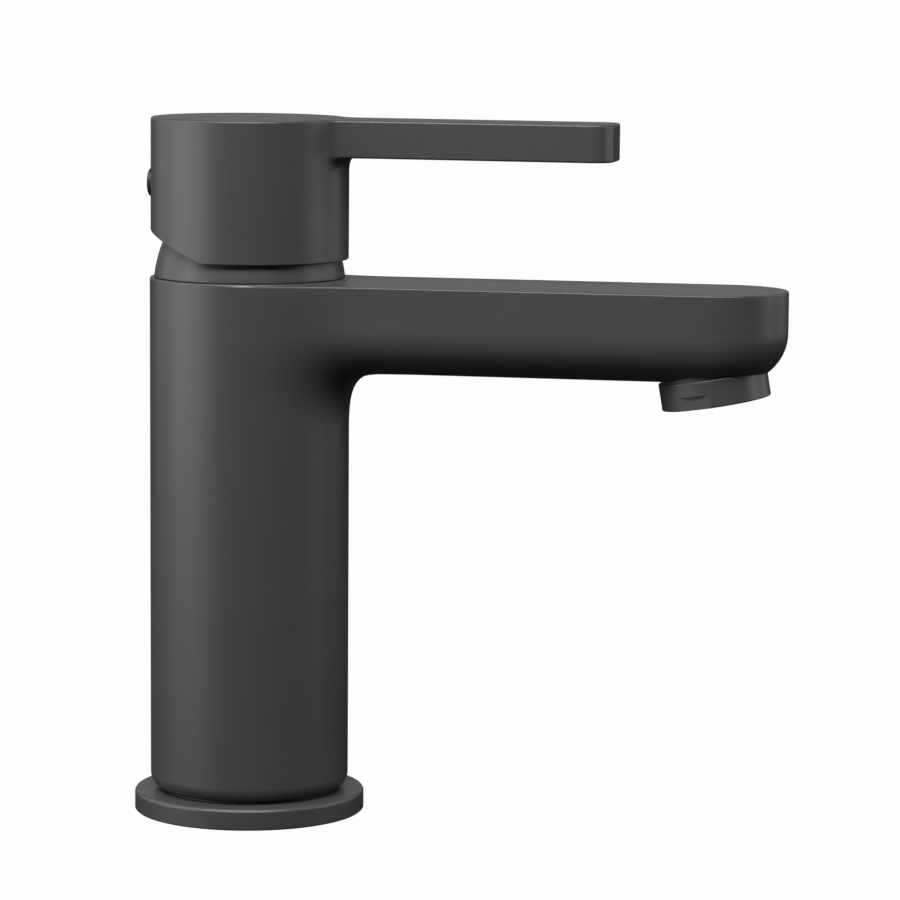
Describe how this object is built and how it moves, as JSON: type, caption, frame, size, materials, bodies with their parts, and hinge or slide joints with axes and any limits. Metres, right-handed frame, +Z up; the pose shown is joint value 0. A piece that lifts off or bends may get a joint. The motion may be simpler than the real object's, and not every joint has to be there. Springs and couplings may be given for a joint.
{
  "type": "basin mixer faucet",
  "caption": "Single-lever basin mixer in matt black: round column, flat-topped spout, flat lever handle, tilted aerator, ceramic-disc cartridge inside.",
  "frame": {"origin": "on the column's axis, on the deck that the mixer stands on", "axes": "+Z up along the column, +X along the spout towards the basin, +Y to the cold side"},
  "size_m": [0.1514, 0.0534, 0.1612],
  "materials": {
    "matt_black": "satin to matt black coating on brass and zinc",
    "black_rubber": "moulded rubber",
    "white_plastic": "moulded acetal",
    "grey_plastic": "moulded plastic",
    "red_plastic": "moulded plastic",
    "ceramic": "lapped alumina ceramic",
    "brass": "turned brass",
    "steel": "plain stainless steel"
  },
  "bodies": {
    "fixed": {"faucet_body": "matt_black", "base_ring": "matt_black", "base_gasket": "black_rubber", "inlet_seal_cold": "black_rubber", "inlet_seal_hot": "black_rubber", "cartridge_base": "white_plastic", "disc_gasket": "black_rubber", "fixed_ceramic_disc": "ceramic", "cartridge_housing": "grey_plastic", "housing_o_ring": "black_rubber", "rotor_washer": "white_plastic", "hot_limit_ring": "red_plastic", "cartridge_nut": "brass", "dome_cover": "matt_black", "dome_o_ring": "black_rubber", "aerator_housing": "matt_black", "aerator_insert": "grey_plastic", "aerator_screen": "steel", "aerator_washer": "black_rubber"},
    "rotor": {"stem_rotor": "white_plastic", "pivot_pin": "steel"},
    "slider": {"moving_ceramic_disc": "ceramic", "disc_carrier": "white_plastic"},
    "lever": {"cartridge_stem": "steel", "lever_handle": "matt_black", "grub_screw": "steel", "index_plug": "matt_black"}
  },
  "joints": [
    {"name": "handle_turn", "type": "hinge", "parent": "fixed", "child": "rotor", "pos_m": [0, 0, 0.128], "axis": [0, 0, 1], "range_deg": [-45, 45]},
    {"name": "handle_lift", "type": "hinge", "parent": "rotor", "child": "lever", "pos_m": [0, 0, 0.128], "axis": [0, -1, 0], "range_deg": [0, 22]},
    {"name": "disc_slide", "type": "slide", "parent": "rotor", "child": "slider", "axis": [1, 0, 0], "range_m": [0, 0.0029]}
  ],
  "couplings": [
    {"joint": "disc_slide", "follows": "handle_lift", "m_per_rad": 0.0073}
  ]
}
